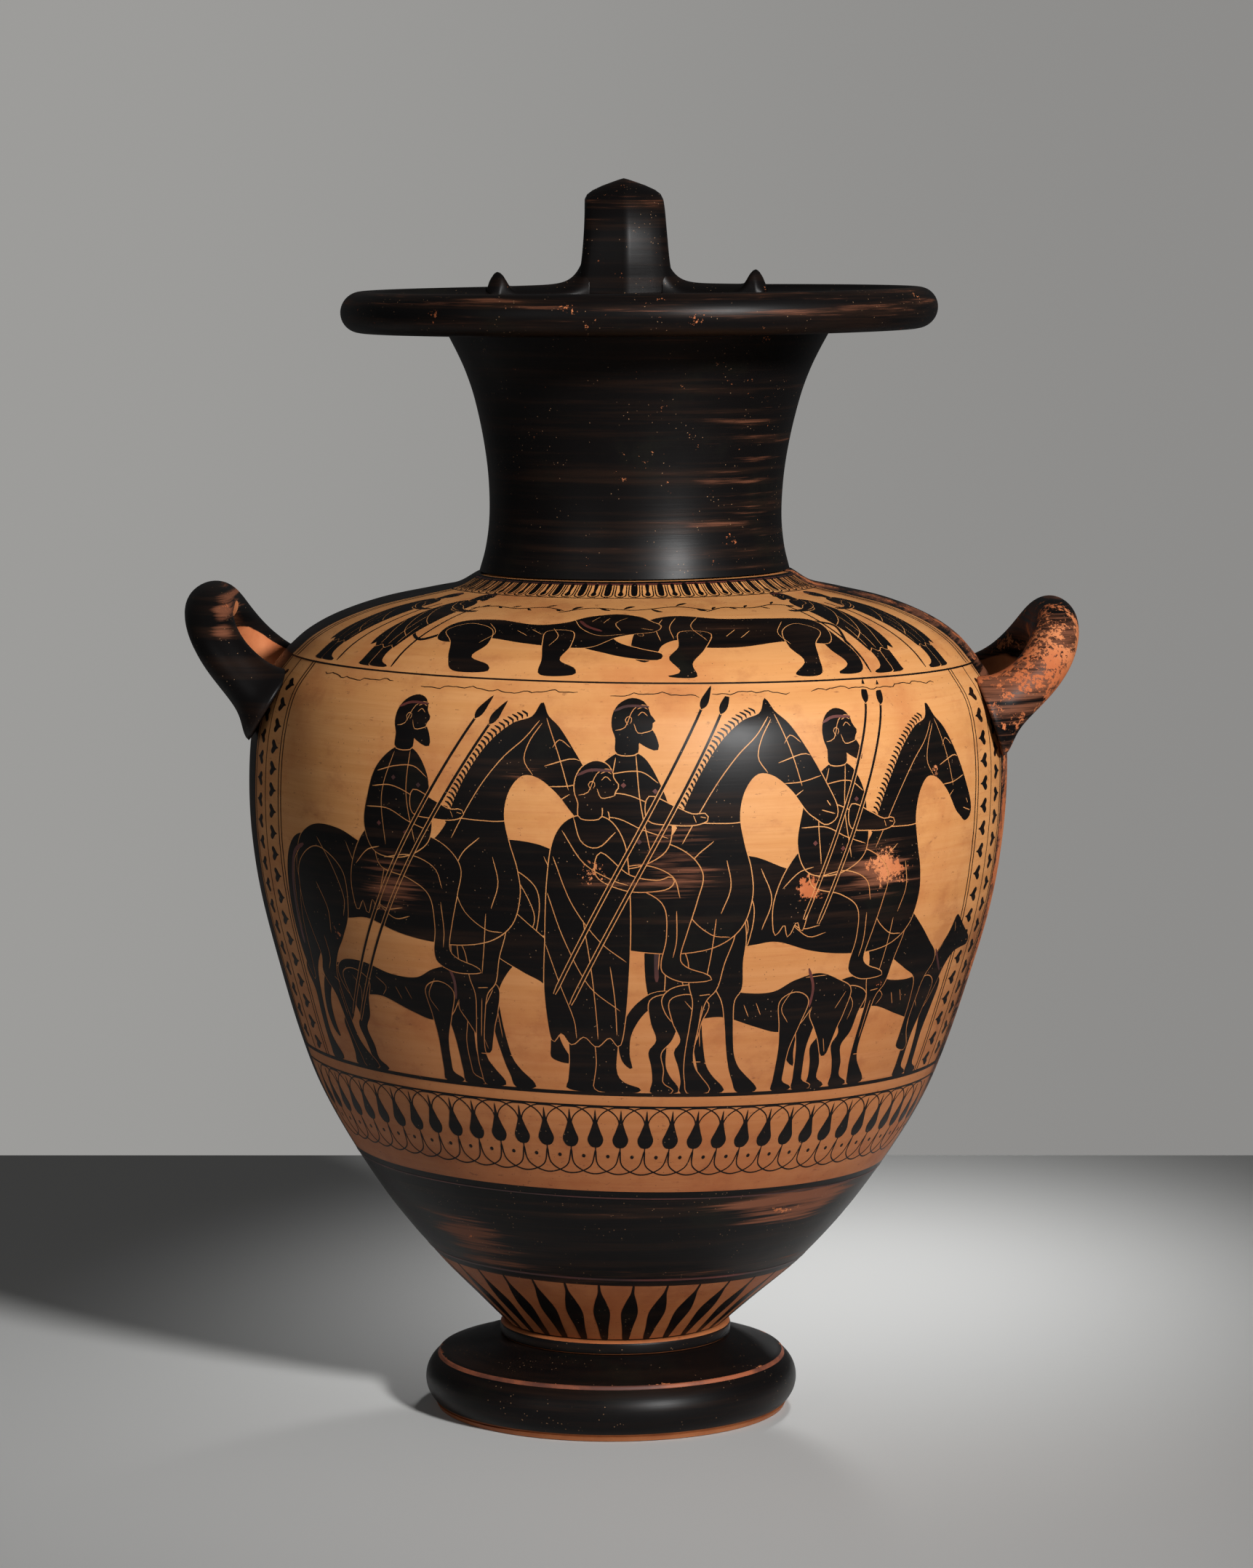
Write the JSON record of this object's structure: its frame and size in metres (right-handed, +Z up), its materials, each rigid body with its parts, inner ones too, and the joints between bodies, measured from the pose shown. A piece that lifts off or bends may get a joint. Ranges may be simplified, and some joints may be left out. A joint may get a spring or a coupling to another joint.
{
  "type": "water jar",
  "caption": "Broad-shouldered clay water jar with a dished mouth, a disc foot, a loop handle at each side and a tall strap handle at the back, painted with figures and bands.",
  "frame": {"origin": "centre of the bounding box, on the surface that the foot stands on", "axes": "+Z up, -Y towards the painted front, +Y towards the back handle, +X to the viewer's right"},
  "size_m": [0.346, 0.295, 0.4813],
  "materials": {
    "black_gloss": "satin black slip",
    "orange_clay": "burnished orange clay with black slip painting"
  },
  "bodies": {
    "root": {"foot": "black_gloss", "foot_fillet": "black_gloss", "neck": "black_gloss", "mouth": "black_gloss", "side_handle_left": "black_gloss", "side_handle_right": "black_gloss", "back_handle": "black_gloss", "handle_arm_left": "black_gloss", "handle_arm_right": "black_gloss", "body": "orange_clay", "shoulder": "orange_clay"}
  },
  "joints": []
}
